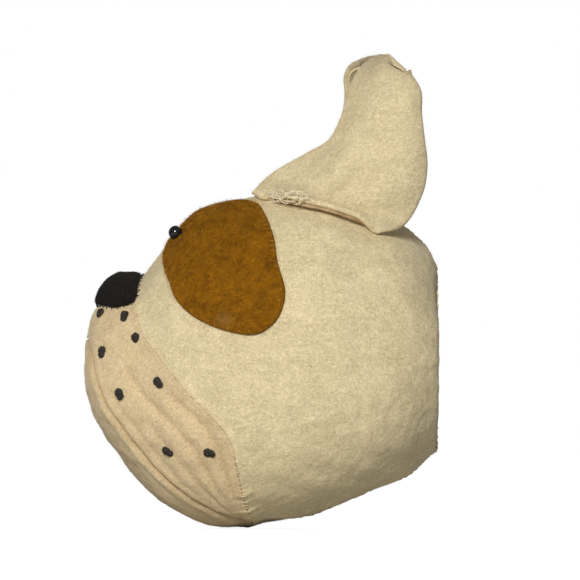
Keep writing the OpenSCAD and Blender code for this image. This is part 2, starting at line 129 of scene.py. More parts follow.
def skin(a, b):
    """Points of the head's outer face for chart points (a, b)."""
    a, b = np.broadcast_arrays(np.asarray(a, float), np.asarray(b, float))
    s, turn = np.hypot(a, b), np.arctan2(b, a)
    n = along(SQUARENESS_LINE, s)
    top, bottom = height_of(along(CROWN_LINE, s)), height_of(along(THROAT_LINE, s))
    middle = height_of(along(MIDDLE_LINE, s))
    c, d = np.cos(turn), np.sin(turn)
    reach = (np.abs(c) ** n + np.abs(d) ** n) ** (-1 / n)
    rise = np.where(c > 0, top - middle, middle - bottom)
    return np.stack([-HEAD_LENGTH * (1 + np.cos(np.pi * s)) / 2,
                     -HALF_WIDTH * along(CHEEK_LINE, s) * reach * d,
                     middle + rise * reach * c], -1)


def upper_section(x):
    """The upper half of the head's section at x: its squareness, the height of its middle,
    its rise above that and its half width."""
    s = np.arccos(-2 * x / HEAD_LENGTH - 1) / np.pi
    middle = height_of(along(MIDDLE_LINE, s))
    return (along(SQUARENESS_LINE, s), middle, height_of(along(CROWN_LINE, s)) - middle,
            HALF_WIDTH * along(CHEEK_LINE, s))


def skin_height(x, y):
    """Height of the upper part of the head's face above (x, y)."""
    n, middle, rise, wide = upper_section(x)
    return middle + rise * (1 - (np.abs(y) / wide) ** n) ** (1 / n)


def head_side(x, z):
    """How far out the left cheek is at a height on the upper part of the head."""
    n, middle, rise, wide = upper_section(x)
    share = np.clip((z - middle) / rise, 0, 0.995)
    return -wide * (1 - share**n) ** (1 / n)


def unit(v):
    return v / np.maximum(np.linalg.norm(v, axis=-1, keepdims=True), 1e-12)


def outward(a, b, e=0.004):
    a, b = np.asarray(a, float), np.asarray(b, float)
    return unit(np.cross(skin(a, b + e) - skin(a, b - e), skin(a + e, b) - skin(a - e, b)))


def chart(bearing, reach):
    g = np.radians(bearing)
    return CHIN_STATION + reach * np.cos(g), reach * np.sin(g)


def polar(a, b):
    """Bearing and reach of chart points about the middle of the chin."""
    da = np.asarray(a, float) - CHIN_STATION
    return np.degrees(np.arctan2(b, da)), np.hypot(da, b)


def rim_reach(bearing):
    g = np.radians(bearing)
    return -CHIN_STATION * np.cos(g) + np.sqrt(1 - (CHIN_STATION * np.sin(g)) ** 2)


def lip_reach(bearing):
    return along(LIP_LINE, np.abs(bearing))


def lip_edge(bearing, shift):
    """Reach of the lip line moved by some millimetres of skin."""
    e, r = 0.005, lip_reach(bearing)
    span = np.linalg.norm(skin(*chart(bearing, r + e)) - skin(*chart(bearing, r - e)), axis=-1)
    return r + shift * 2 * e / span


def seam_reach(bearing):
    g = np.abs(np.asarray(bearing, float))
    foot = lip_edge(g, THROAT_GAP)
    step = along(SEAM_LINE, SEAM_END) - lip_edge(SEAM_END, THROAT_GAP)
    return np.where(g < SEAM_END, along(SEAM_LINE, np.minimum(g, SEAM_END)),
                    foot + (180 - g) / (180 - SEAM_END) * step)


def mix(p, q, u):
    return p + (q - p) * u


def smooth(lo, hi, x):
    u = np.clip((x - lo) / (hi - lo), 0, 1)
    return u * u * (3 - 2 * u)


def bell(x, middle, width):
    return np.exp(-((x - middle) / width) ** 2)


def waves(points, length, seed, count=14):
    """Smooth seeded lumps of about unit height and the given wavelength in millimetres."""
    rng = np.random.default_rng(seed)
    ways = unit(rng.normal(size=(count, 3))) * rng.uniform(0.6, 1.5, (count, 1))
    starts = rng.uniform(0, 2 * np.pi, count)
    phase = points @ (ways.T * 2 * np.pi / length) + starts
    return np.sin(phase).sum(-1) * np.sqrt(1.4 / count)


# Lumps of the stuffing under the felt: [height, wavelength in mm, seed]
STUFFING_LUMPS = [[0.5, 46, 3], [0.26, 16, 4], [0.09, 7, 5]]
# Folds of the muzzle's felt: [share from lip to seam, width, depth in mm, bearings]
MUZZLE_FOLDS = [[0.62, 0.05, 1.4, 30, 118], [0.84, 0.045, 1.6, 44, 124],
                [0.42, 0.06, 0.9, 56, 132], [0.73, 0.045, -0.8, 44, 122],
                [0.22, 0.05, 0.5, 30, 120]]
# The roll and the crease along the lip: [height, mm from the lip line, width]
LIP_ROLLS = [[0.9, -5.5, 3.2], [-0.9, 0, 1.6], [0.4, 4.5, 3]]
SEAM_RIDGE, RIDGE_OUTSIDE, RIDGE_INSIDE = 0.9, 4.5, 3.0
PUCKER, PUCKER_WIDTH, THROAT_DRAW = 0.3, 7.0, 1.6
# Millimetres of felt for each unit of reach, at the seam and at the lip
SEAM_MM, LIP_MM = 290, 270


def muzzle_folds(g, share, narrow=1.0):
    """Summed depth of the muzzle's folds at a bearing and a share from lip to seam."""
    total = 0
    for middle, width, depth, start, end in MUZZLE_FOLDS:
        drift = 0.02 * np.sin(np.radians(g * 3 + 300 * middle))
        window = smooth(start, start + 22, g) * (1 - smooth(end - 22, end, g))
        total = total + depth * bell(share, middle + drift, width * narrow) * window
    return total


def relief(a, b):
    """How far the felt stands out from the plain skin, in mm: lumps, folds and puckers."""
    p = skin(a, b)
    g, reach = polar(a, b)
    g = np.abs(g)
    lip, seam = lip_reach(g), seam_reach(g)
    share = (reach - lip) / (seam - lip)
    past, inside = (reach - seam) * SEAM_MM, (reach - lip) * LIP_MM
    out = sum(height * waves(p, length, seed) for height, length, seed in STUFFING_LUMPS)
    below = np.asarray(a) < 0
    out -= THROAT_DRAW * bell(np.hypot(a, b), 0.9, 0.07) * below * smooth(60, 110, g)
    ridge = np.where(past > 0, RIDGE_OUTSIDE, RIDGE_INSIDE)
    out += SEAM_RIDGE * np.exp(-(past / ridge) ** 2)
    lip_window = smooth(2, 40, g) * (1 - smooth(146, 156, g))
    out += lip_window * sum(height * bell(inside, at, width) for height, at, width in LIP_ROLLS)
    out -= muzzle_folds(g, share)
    pucker = np.sin(np.radians(g * 46)) + 0.6 * np.sin(np.radians(g * 71 + 40))
    out += PUCKER * pucker * np.exp(-(past / PUCKER_WIDTH) ** 2) * smooth(96, 116, g)
    return out


def surface(a, b, lift=0.0):
    """Points lifted off the lumpy felt surface, in mm."""
    a, b = np.asarray(a, float), np.asarray(b, float)
    return skin(a, b) + (relief(a, b) + lift)[..., None] * outward(a, b)


# ------------------------ mesh making
def new_object(name, verts, faces, mat, shade=None):
    mesh = bpy.data.meshes.new(name)
    mesh.from_pydata((np.asarray(verts) * MM).tolist(), [], [list(f) for f in faces])
    if shade is not None:
        layer = mesh.attributes.new("shade", "FLOAT", "POINT")
        layer.data.foreach_set("value", np.asarray(shade, np.float32))
    mesh.materials.append(mat)
    obj = bpy.data.objects.new(name, mesh)
    bpy.context.scene.collection.objects.link(obj)
    return obj


def tidy_mesh(obj, merge=0.01 * MM):
    """Joins meeting points, turns the faces outward and smooths them."""
    bm = bmesh.new()
    bm.from_mesh(obj.data)
    bmesh.ops.remove_doubles(bm, verts=bm.verts, dist=merge)
    bmesh.ops.dissolve_degenerate(bm, edges=bm.edges, dist=1e-7)
    bmesh.ops.recalc_face_normals(bm, faces=bm.faces)
    bm.to_mesh(obj.data)
    bm.free()
    obj.data.shade_smooth()
    return obj


def grid_faces(rows, cols, wrap, start=0):
    i, j = np.meshgrid(np.arange(rows - 1), np.arange(cols if wrap else cols - 1),
                       indexing="ij")
    k, l = i * cols + j, i * cols + (j + 1) % cols
    return (np.stack([k, k + cols, l + cols, l], -1).reshape(-1, 4) + start).tolist()


def edge_distance(mid, form):
    """Distance in mm of each grid point from the sheet's cut edge."""
    def both_ways(points):
        run = np.linalg.norm(np.diff(points, axis=0), axis=-1).cumsum(0)
        run = np.concatenate([np.zeros_like(run[:1]), run])
        return run, run[-1:] - run
    from_first, from_last = both_ways(mid)
    if form == "disc":
        return from_last
    near = np.minimum(from_first, from_last)
    if form == "tube":
        return near
    left, right = both_ways(mid.swapaxes(0, 1))
    return np.minimum(near, np.minimum(left, right).T)


def sheet_mesh(name, top, bottom, mat, form="leaf", radius=None, shade=None):
    """Closed sheet between two grids of points, with its cut edges rounded. form is leaf,
    disc (columns go round, the first row is the middle) or tube (columns go round)."""
    mid, half = (top + bottom) / 2, (top - bottom) / 2
    thick = np.linalg.norm(half, axis=-1).max()
    radius = radius or thick
    near = np.clip(edge_distance(mid, form) / radius, 0, 1)
    half = half * np.sqrt(1 - (1 - near) ** 2)[..., None]
    rows, cols = mid.shape[:2]
    verts = np.concatenate([(mid + half).reshape(-1, 3), (mid - half).reshape(-1, 3)])
    wrap = form != "leaf"
    faces = grid_faces(rows, cols, wrap) + grid_faces(rows, cols, wrap, rows * cols)
    if shade is not None:
        shade = np.tile(np.broadcast_to(shade, (rows, cols)).reshape(-1), 2)
    obj = new_object(name, verts, faces, mat, shade)
    obj["cloth_area"] = float(cell_areas(mid).sum()) * MM**2
    return tidy_mesh(obj)


def stops(count, length, radius, first=True):
    """Shares from 0 to 1 with a few more near the cut edges, where the felt rounds over."""
    curve = (1 - np.cos(np.radians([0, 20, 42, 66, 90]))) * radius / length
    head = curve if first else np.array([0.0])
    tail = 1 - curve[::-1]
    inner = np.linspace(head[-1], tail[0], count + 2)[1:-1]
    return np.concatenate([head, inner, tail])


def cell_areas(grid):
    u = grid[1:, :-1] - grid[:-1, :-1]
    v = grid[:-1, 1:] - grid[:-1, :-1]
    return np.linalg.norm(np.cross(u, v), axis=-1)


def around(count):
    """Angles of a whole turn in equal steps."""
    return np.linspace(0, 2 * np.pi, count, endpoint=False)


def across_path(path):
    """Two directions across a path at each of its points."""
    way = unit(np.gradient(path, axis=0))
    side = unit(np.cross(way, [0.31, 0.27, 0.91]))
    return side, np.cross(way, side)


class Pile:
    """Gathers many small closed solids into one mesh."""

    def __init__(self):
        self.verts, self.faces, self.count = [], [], 0

    def add(self, verts, faces):
        self.verts.append(verts)
        self.faces += [[k + self.count for k in f] for f in faces]
        self.count += len(verts)

    def tube(self, path, radius, sides=7):
        """A round tube along a path, closed at both ends. radius may vary along it."""
        path = np.asarray(path, float)
        side, up = across_path(path)
        turn = around(sides)[None]
        ring = (np.cos(turn)[..., None] * side[:, None] + np.sin(turn)[..., None] * up[:, None])
        verts = path[:, None] + ring * np.broadcast_to(radius, len(path))[:, None, None]
        faces = grid_faces(len(path), sides, True)
        last = (len(path) - 1) * sides
        faces += [list(range(sides))[::-1], [last + k for k in range(sides)]]
        self.add(verts.reshape(-1, 3), faces)

    def thread(self, path, width, twist=0.55, sides=6):
        """A thread of two twisted plies along a path. width is its whole width in mm."""
        path = resample(np.asarray(path, float), max(width * 0.55, 0.16))
        side, up = across_path(path)
        turn = np.arange(len(path)) * twist
        for ply in (0, np.pi):
            offset = np.cos(turn + ply)[:, None] * side + np.sin(turn + ply)[:, None] * up
            self.tube(path + offset * width * 0.23, width * 0.28, sides)

    def object(self, name, mat):
        obj = new_object(name, np.concatenate(self.verts), self.faces, mat)
        return tidy_mesh(obj, 1e-7)


def resample(path, step):
    """The same path with points a step apart, on a smooth curve."""
    run = np.concatenate([[0], np.linalg.norm(np.diff(path, axis=0), axis=-1).cumsum()])
    count = max(int(run[-1] / step), 4)
    table = np.column_stack([run, path])
    at = np.linspace(0, run[-1], count)
    return np.stack([along(table, at, k) for k in (1, 2, 3)], -1)


def fuzz(name, points, normals, mat, count, length, seed, body, slot, radius=0.035,
         lift=0.35, lay=(1.0, 0.0, 0.0)):
    """Short loose wool fibres that stand off a grid of points."""
    rng = np.random.default_rng(seed)
    area = cell_areas(points)
    i, j = np.unravel_index(rng.choice(area.size, count, p=area.reshape(-1) / area.sum()),
                            area.shape)
    u, v = rng.random((2, count, 1))
    roots, ways = (mix(mix(g[i, j], g[i + 1, j], u), mix(g[i, j + 1], g[i + 1, j + 1], u), v)
                   for g in (points, normals))
    ways = unit(ways)
    flat = unit(np.cross(ways, unit(rng.normal(size=(count, 3)) + 0.4 * np.array(lay))))
    rise = rng.uniform(0.05, 1, (count, 1)) ** 2 * lift
    size = length * rng.uniform(0.4, 1.3, (count, 1))
    curl = unit(rng.normal(size=(count, 3))) * size * 0.3
    start = roots - 0.25 * ways
    path = [start, start + flat * size * 0.4 + ways * (0.3 + size * 0.5 * rise),
            start + flat * size * 0.75 + ways * (0.3 + size * rise) + curl * 0.5,
            start + flat * size + ways * (0.2 + size * rise * 1.4) + curl]
    across = unit(np.cross(flat, ways))
    other = np.cross(flat, across)
    corners = [(np.cos(t), np.sin(t)) for t in around(3)]
    rings = [point + radius * wide * (c * across + s * other)
             for point, wide in zip(path[:3], (1, 0.9, 0.6)) for c, s in corners]
    verts = np.stack(rings + [path[3]], 1)
    one = [[2, 1, 0]]
    for r in (0, 3):
        one += [[r + k, r + (k + 1) % 3, r + 3 + (k + 1) % 3, r + 3 + k] for k in range(3)]
    one += [[6 + k, 6 + (k + 1) % 3, 9] for k in range(3)]
    faces = [[q + 10 * k for q in f] for k in range(count) for f in one]
    obj = new_object(name, verts.reshape(-1, 3), faces, mat)
    obj.data.shade_smooth()
    place(obj, body, slot)


# ------------------------ camera, light and floor
VIEW_WIDTH, VIEW_DISTANCE, SENSOR = 290 * MM, 5.0, 36.0
camera_data = bpy.data.cameras.new("camera")
camera_data.sensor_width = SENSOR
camera_data.lens = SENSOR * VIEW_DISTANCE / VIEW_WIDTH
camera_data.clip_start, camera_data.clip_end = 0.05, 20
camera = bpy.data.objects.new("camera", camera_data)
camera.location = (-73.5 * MM, -VIEW_DISTANCE, 36 * MM)
camera.rotation_euler = (np.pi / 2, 0, 0)
bpy.context.scene.collection.objects.link(camera)
bpy.context.scene.camera = camera
bpy.context.scene.view_settings.view_transform = "Standard"


def area_light(name, place, aim, size, power, colour):
    data = bpy.data.lights.new(name, "AREA")
    data.shape, data.size, data.energy, data.color = "DISK", size, power, colour
    light = bpy.data.objects.new(name, data)
    light.location = place
    light.rotation_euler = (Vector(aim) - Vector(place)).to_track_quat("-Z", "Y").to_euler()
    bpy.context.scene.collection.objects.link(light)


HEAD_AIM = (-0.08, 0, 0.02)
area_light("key", (-0.5, -1.9, 0.8), HEAD_AIM, 0.6, 34, (1, 0.985, 0.96))
area_light("back", (0.4, 1.2, 1.0), HEAD_AIM, 0.8, 3, (1, 1, 1))
# The studio's white surround is bright behind the puppet and dimmer as a light on it
SURROUND_SEEN, SURROUND_LIGHT = 1.0, 0.15
world = bpy.data.worlds.new("studio")
bpy.context.scene.world = world
world.use_nodes = True
surround = world.node_tree.nodes["Background"]
seen = world.node_tree.nodes.new("ShaderNodeMapRange")
seen.inputs["To Min"].default_value = SURROUND_LIGHT
seen.inputs["To Max"].default_value = SURROUND_SEEN
path = world.node_tree.nodes.new("ShaderNodeLightPath")
world.node_tree.links.new(path.outputs["Is Camera Ray"], seen.inputs["Value"])
world.node_tree.links.new(seen.outputs["Result"], surround.inputs["Strength"])
surround.inputs["Color"].default_value = (1, 1, 1, 1)


# ------------------------ materials
def rgb(r, g, b):
    """Linear colour from 8-bit sRGB."""
    c = np.array([r, g, b]) / 255
    return tuple(np.where(c <= 0.04045, c / 12.92, ((c + 0.055) / 1.055) ** 2.4)) + (1.0,)


RIDGED = "RIDGED_MULTIFRACTAL"


class Nodes:
    """A material's node tree with short names for the few nodes used here."""

    def __init__(self, name, roughness, sheen=0.0, sheen_tint=(1, 1, 1, 1), coat=0.0,
                 specular=0.5, subsurface=0.0):
        self.material = bpy.data.materials.new(name)
        self.material.use_nodes = True
        self.tree = self.material.node_tree
        self.shader = self.tree.nodes["Principled BSDF"]
        for socket, value in [("Roughness", roughness), ("Sheen Weight", sheen),
                              ("Sheen Roughness", 0.5), ("Sheen Tint", sheen_tint),
                              ("Coat Weight", coat), ("Coat Roughness", 0.05),
                              ("Specular IOR Level", specular),
                              ("Subsurface Weight", subsurface)]:
            self.shader.inputs[socket].default_value = value
        self.coords = self.add("ShaderNodeTexCoord").outputs["Object"]

    def add(self, kind, inputs=(), **settings):
        node = self.tree.nodes.new(kind)
        for key, value in settings.items():
            setattr(node, key, value)
        for key, value in dict(inputs).items():
            socket = node.inputs[key]
            if isinstance(value, bpy.types.NodeSocket):
                self.tree.links.new(value, socket)
            else:
                socket.default_value = value
        return node

    def stretched(self, scale, turn=(0, 0, 0)):
        return self.add("ShaderNodeMapping", {"Vector": self.coords, "Scale": scale,
                                              "Rotation": turn}).outputs["Vector"]

    def noise(self, scale, detail=3.0, distortion=0.0, kind="FBM", vector=None, rough=0.5):
        node = self.add("ShaderNodeTexNoise", {
            "Vector": vector or self.coords, "Scale": scale, "Detail": detail,
            "Distortion": distortion, "Roughness": rough}, noise_type=kind)
        return node.outputs["Fac"]

    def span(self, value, lo, hi, out_lo=0.0, out_hi=1.0):
        return self.add("ShaderNodeMapRange", {"Value": value, "From Min": lo, "From Max": hi,
                                               "To Min": out_lo, "To Max": out_hi}
                        ).outputs["Result"]

    def mix(self, factor, a, b, blend="MIX"):
        """Mixes two colours. 6, 7 and 2 are the numbers of the node's colour sockets."""
        return self.add("ShaderNodeMix", {0: factor, 6: a, 7: b}, data_type="RGBA",
                        blend_type=blend).outputs[2]

    def maths(self, how, *values):
        return self.add("ShaderNodeMath", enumerate(values), operation=how).outputs[0]

    def bump(self, height, strength, distance, normal=None):
        inputs = {"Height": height, "Strength": strength, "Distance": distance}
        if normal:
            inputs["Normal"] = normal
        return self.add("ShaderNodeBump", inputs).outputs["Normal"]

    def finish(self, colour, normal=None):
        self.tree.links.new(colour, self.shader.inputs["Base Color"])
        if normal:
            self.tree.links.new(normal, self.shader.inputs["Normal"])
        return self.material


def felt_material(name, light, dark, fibre, fleck, shade_and_wear, lay=(0.35, 1, 1), turn=(0, 0.25, 0),
                  flecks=1.0, sheen=0.35, fibres=0.5):
    """Pressed wool: mottled colour, laid fibres, a few odd flecks and a soft nap, with a second
    colour mixed in by the shade attribute: painted shade on most pieces, wear on the eye patch.
    """
    n = Nodes(name, 0.95, sheen=sheen, sheen_tint=fibre, specular=0.15)
    laid = n.stretched(lay, turn)
    mottle = n.span(n.noise(70, 6, 0.8, rough=0.65), 0.34, 0.66)
    streak = n.span(n.noise(520, 4, 1.4, vector=laid, rough=0.65), 0.34, 0.66)
    grain = n.noise(950, 4, 0.8, rough=0.7)
    hairs = n.noise(420, 2.5, 2.2, RIDGED, laid)
    cross = n.noise(420, 2, 3.2, RIDGED)
    body = n.maths("MULTIPLY_ADD", mottle, 0.4, n.maths("MULTIPLY", streak, 0.6))
    colour = n.mix(body, dark, light)
    colour = n.mix(n.span(hairs, 0.5, 0.95, 0, fibres), colour, fibre)
    colour = n.mix(n.span(cross, 0.6, 1.05, 0, fibres * 0.7), colour, fibre)
    speck = n.span(n.noise(380, 2, 1.0), 0.70, 0.78, 0, 0.8 * flecks)
    colour = n.mix(speck, colour, fleck)
    # Where the shade attribute is set, the second colour is mixed in: painted shade, and wear
    # on the eye patch
    shade_and_wear_mask = n.add("ShaderNodeAttribute", attribute_name="shade").outputs["Fac"]
    patchy = n.span(n.noise(60, 4, 0.8), 0.3, 0.75, 0.35, 1.0)
    colour = n.mix(n.maths("MULTIPLY", shade_and_wear_mask, patchy), colour, shade_and_wear)
    tone = n.mix(n.span(grain, 0.3, 0.7), (0.68, 0.68, 0.67, 1), (1.16, 1.16, 1.17, 1))
    colour = n.mix(1.0, colour, tone, "MULTIPLY")
    normal = n.bump(n.noise(90, 5, 0.7, rough=0.6), 0.6, 0.0016)
    normal = n.bump(hairs, 0.45, 0.00035, normal)
    normal = n.bump(grain, 0.55, 0.0004, normal)
    return n.finish(colour, normal)


# Grey mixed into cream felt: painted shade toward the head's rim and in the band above each
# ear's turned base; it also greys the hem all over and the ears a little all over and more at
# their back and top edges
CREAM_SHADE_GREY = rgb(150, 137, 112)
cream_felt = felt_material("cream_wool_felt", rgb(246, 229, 186), rgb(212, 195, 152),
                           rgb(252, 240, 212), rgb(170, 156, 122), CREAM_SHADE_GREY)
# The muzzle felt's mixed-in brown is painted shade in its folds and along the lip's crease
muzzle_felt = felt_material("muzzle_wool_felt", rgb(240, 217, 174), rgb(214, 190, 146),
                            rgb(252, 236, 204), rgb(180, 150, 112), rgb(172, 134, 92),
                            flecks=0.6)
# The lining's mixed-in orange-brown is painted warm shadow under each ear's turned base
lining_felt = felt_material("ear_lining_wool_felt", rgb(236, 218, 176), rgb(206, 188, 146),
                            rgb(252, 240, 212), rgb(170, 156, 122), rgb(148, 96, 40))
brown_felt = felt_material("brown_wool_felt", rgb(160, 104, 6), rgb(92, 58, 2),
                           rgb(212, 150, 34), rgb(66, 42, 6), rgb(176, 150, 100),
                           lay=(0.5, 1, 0.6), turn=(0, 0.8, 0.3), sheen=0.06, fibres=0.9)
black_felt = felt_material("black_wool_felt", rgb(38, 36, 34), rgb(22, 21, 20),
                           rgb(66, 64, 62), rgb(14, 14, 14), rgb(60, 58, 56), sheen=0.12,
                           fibres=0.3)
# The red felt's mixed-in dark red is painted shade at the mouth linings' edge in the lip
mouth_felt = felt_material("red_wool_felt", rgb(160, 52, 42), rgb(126, 36, 30),
                           rgb(196, 96, 82), rgb(88, 22, 20), rgb(90, 30, 26), sheen=0.25)


def fibre_material(name, light, dark):
    n = Nodes(name, 0.8, sheen=0.3, sheen_tint=light, specular=0.2)
    return n.finish(n.mix(n.span(n.noise(300, 2), 0.35, 0.65), dark, light))


cream_fibre = fibre_material("cream_wool_fibre", rgb(255, 246, 224), rgb(232, 214, 178))
brown_fibre = fibre_material("brown_wool_fibre", rgb(206, 148, 40), rgb(124, 80, 6))
black_fibre = fibre_material("black_wool_fibre", rgb(58, 56, 54), rgb(26, 25, 24))


def thread_material(name, light, dark, sheen=0.3):
    n = Nodes(name, 0.7, sheen=sheen, sheen_tint=light, specular=0.3)
    strands = n.noise(1800, 3, 1.5, vector=n.stretched((0.4, 1, 1), (0.3, 0.5, 0.8)))
    colour = n.mix(n.span(strands, 0.3, 0.7), dark, light)
    return n.finish(colour, n.bump(strands, 0.5, 0.0001))


cream_thread = thread_material("cream_cotton_thread", rgb(255, 240, 205), rgb(222, 196, 148))
loose_thread = thread_material("loose_cream_thread", rgb(255, 246, 222), rgb(238, 218, 176))
brown_thread = thread_material("brown_cotton_thread", rgb(206, 154, 76), rgb(150, 98, 28))
dark_thread = thread_material("dark_cotton_thread", rgb(78, 70, 64), rgb(34, 29, 26), 0.15)
nose_thread = thread_material("nose_cotton_thread", rgb(70, 66, 62), rgb(28, 26, 25), 0.1)


def cotton_material():
    n = Nodes("sleeve_cotton", 0.85, sheen=0.2, specular=0.2)
    yarns = {"Vector": n.coords, "Scale": 420.0, "Distortion": 0.4}
    weave = n.maths("MULTIPLY", *(
        n.add("ShaderNodeTexWave", yarns, bands_direction=way).outputs["Fac"]
        for way in ("X", "DIAGONAL")))
    colour = n.mix(n.span(n.noise(90, 4), 0.3, 0.7), rgb(226, 216, 190), rgb(242, 234, 212))
    colour = n.mix(n.span(weave, 0, 1, 0.18, 0), colour, rgb(176, 162, 132))
    return n.finish(colour, n.bump(weave, 0.4, 0.0002))


def card_material():
    n = Nodes("grey_card", 0.8, specular=0.25)
    pulp = n.noise(400, 5, 0.5, rough=0.7)
    colour = n.mix(n.span(pulp, 0.3, 0.7), rgb(166, 140, 104), rgb(196, 172, 134))
    flecks = n.span(n.noise(700, 2, 1), 0.68, 0.75, 0, 0.6)
    return n.finish(n.mix(flecks, colour, rgb(110, 88, 62)), n.bump(pulp, 0.3, 0.0002))


def wadding_material():
    n = Nodes("white_wadding", 1.0, sheen=0.5, specular=0.1, subsurface=0.1)
    n.shader.inputs["Subsurface Radius"].default_value = (0.004, 0.004, 0.004)
    tufts = n.noise(160, 6, 1.2, rough=0.7)
    hairs = n.noise(420, 3, 3, RIDGED)
    colour = n.mix(n.span(tufts, 0.3, 0.7), rgb(214, 208, 198), rgb(244, 240, 232))
    return n.finish(colour, n.bump(hairs, 0.5, 0.0006, n.bump(tufts, 0.7, 0.002)))


def bead_material():
    n = Nodes("black_glass_bead", 0.12, coat=0.5, specular=0.5)
    cloud = n.noise(500, 3)
    colour = n.mix(cloud, rgb(14, 14, 15), rgb(26, 25, 25))
    dust = n.span(n.noise(1500, 2), 0.62, 0.8, 0.06, 0.3)
    n.tree.links.new(dust, n.shader.inputs["Roughness"])
    return n.finish(colour, n.bump(cloud, 0.05, 0.0001))


def floor_material():
    n = Nodes("pale_floor", 0.9, specular=0.1)
    seen = n.add("ShaderNodeLightPath").outputs["Is Camera Ray"]
    n.shader.inputs["Emission Color"].default_value = (1, 1, 1, 1)
    n.tree.links.new(n.maths("MULTIPLY", seen, 0.92), n.shader.inputs["Emission Strength"])
    return n.finish(n.mix(n.noise(3, 2), rgb(205, 205, 205), rgb(212, 212, 212)))


sleeve_cotton, grey_card, wadding = cotton_material(), card_material(), wadding_material()
black_bead = bead_material()

# A wide flat floor just under the puppet; the white surround stands behind it
FLOOR_Z, FLOOR_RADIUS, FLOOR_RINGS, FLOOR_SIDES = -83.5, 9000, 12, 64
floor_verts = [(reach * np.cos(t), reach * np.sin(t), FLOOR_Z)
               for reach in FLOOR_RADIUS * (np.arange(1, FLOOR_RINGS + 1) / FLOOR_RINGS) ** 2
               for t in around(FLOOR_SIDES)]
floor_faces = grid_faces(FLOOR_RINGS, FLOOR_SIDES, True) + [list(range(FLOOR_SIDES))]
floor = new_object("floor", floor_verts, floor_faces, floor_material())


# ------------------------ placing pieces
def place(obj, body, slot, *nodes):
    """Puts a piece on its body and hides the CAD nodes it stands for; a piece on a blend of two
    bodies only has its transform baked in. slot is not used.
    """
    if isinstance(body, str):
        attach(obj, body)
    else:
        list(body)
        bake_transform(obj)
    if nodes:
        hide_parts(*nodes)
    return obj


def cut_piece(name, top, bottom, mat, body, slot, node, flat, rests_on=(), **shape):
    """A cut piece of felt or cotton. Its flat area is that of its own middle surface."""
    obj = place(sheet_mesh(name, top, bottom, mat, **shape), body, slot, node)


# Fabric that crosses the mouth's hinge is given the head, the jaw and a point on each side of
# the hinge; place only bakes its transform, so it does not follow the jaw
JAW_BLEND = ("head", "jaw", (-0.0945, 0, -0.08), (-0.1005, 0, -0.08))

# ------------------------ head panels
SEAM_ROUND, SEAM_GAP = 0.15, 0.00004
bearings = mix(0, 180, stops(150, 230, SEAM_ROUND))
rows = stops(150, 150, SEAM_ROUND)
for side, name in ((1, "left"), (-1, "right")):
    g, f = np.meshgrid(bearings, rows)
    a, b = chart(g, mix(seam_reach(g) + SEAM_GAP, rim_reach(g), f))
    b = b * side
    top, bottom = surface(a, b), surface(a, b, -FELT)
    # Painted shade: the felt greys towards the rim at the back of the head
    shade = 0.5 * smooth(0.93, 1, np.hypot(a, b))
    cut_piece(name + "_head_felt", top, bottom, cream_felt, "head", "cream_felt",
              name + "_head_side", (0.205, 0.25), radius=SEAM_ROUND, shade=shade)
    fuzz(name + "_head_fuzz", top, outward(a, b), cream_fibre, 9000, 2.4, 20 + side, "head",
         "cream_felt")

g, f = np.meshgrid(mix(-SEAM_END, SEAM_END, stops(260, 260, SEAM_ROUND)),
                   stops(60, 45, SEAM_ROUND))
a, b = chart(g, mix(lip_edge(g, LIP_GAP / 2), seam_reach(g) - SEAM_GAP, f))
top, bottom = surface(a, b), surface(a, b, -FELT)
# Painted shade: the muzzle's felt darkens in its folds and along the lip's crease
fold_shade = 0.22 * np.maximum(muzzle_folds(np.abs(g), f, 0.55), 0)
cut_piece("muzzle_felt", top, bottom, muzzle_felt, "head", "muzzle_felt", "muzzle_panel",
          (0.19, 0.19), radius=SEAM_ROUND, shade=0.45 * bell(f, 0, 0.04) + fold_shade)
fuzz("muzzle_fuzz", top, outward(a, b), cream_fibre, 6000, 2.0, 31, "head", "muzzle_felt")


# The chin's felt reaches back to the throat, where the head's felt is sewn to it
def chin_reach(g):
    throat = smooth(SEAM_END - 3, SEAM_END + 4, np.abs(g))
    return mix(lip_edge(g, -LIP_GAP / 2), lip_edge(g, THROAT_GAP) - 0.001, throat)


g, f = np.meshgrid(np.linspace(-180, 180, 200, endpoint=False),
                   stops(46, 60, FELT / 2, first=False))
a, b = chart(g, chin_reach(g) * f)
top, bottom = surface(a, b), surface(a, b, -FELT)
# Painted shade darkens the chin's felt along its edge, in the lip's crease
cut_piece("chin_felt", top, bottom, muzzle_felt, JAW_BLEND, "cream_felt", "chin_panel",
          (0.14, 0.13), form="disc", radius=0.9, shade=0.5 * bell(f, 1, 0.03))
fuzz("chin_fuzz", top, outward(a, b), cream_fibre, 3000, 2.0, 33, JAW_BLEND, "cream_felt")

# ------------------------ mouth
front_lip, back_lip = skin(*chart(0, lip_reach(0))), skin(*chart(180, lip_reach(180)))
mouth_middle = (front_lip + back_lip) / 2
mouth_run = unit(back_lip - front_lip)
mouth_up = np.array([-mouth_run[2], 0, mouth_run[0]])
ARCH_START = 135


def plate_point(g, f, depth, lift):
    """Point of a mouth plate: f from its middle to its edge, lifted across the plate."""
    arch = np.where(np.abs(g) < ARCH_START, 0, THUMB_HEIGHT * (1 - np.cos(
        np.pi * (np.abs(g) - ARCH_START) / (180 - ARCH_START))) / 2)
    a, b = chart(g, lip_reach(g))
    edge = skin(a, b) - depth * outward(a, b) + arch[..., None] * mouth_up
    r = edge - mouth_middle
    up = (r @ mouth_up)[..., None]
    f = f[..., None]
    return (mouth_middle + (r - up * mouth_up) * f
            + (up * f**2 + THUMB_HEIGHT * (1 - f**2) + lift) * mouth_up)


PLATE_GAP, FLOOR_DEPTH, ROOF_DEPTH = LIP_GAP / 2 + 0.2, FELT + 1.6, FELT + 0.2
g, f = np.meshgrid(np.linspace(-180, 180, 140, endpoint=False),
                   stops(30, 45, LINING / 2, first=False))
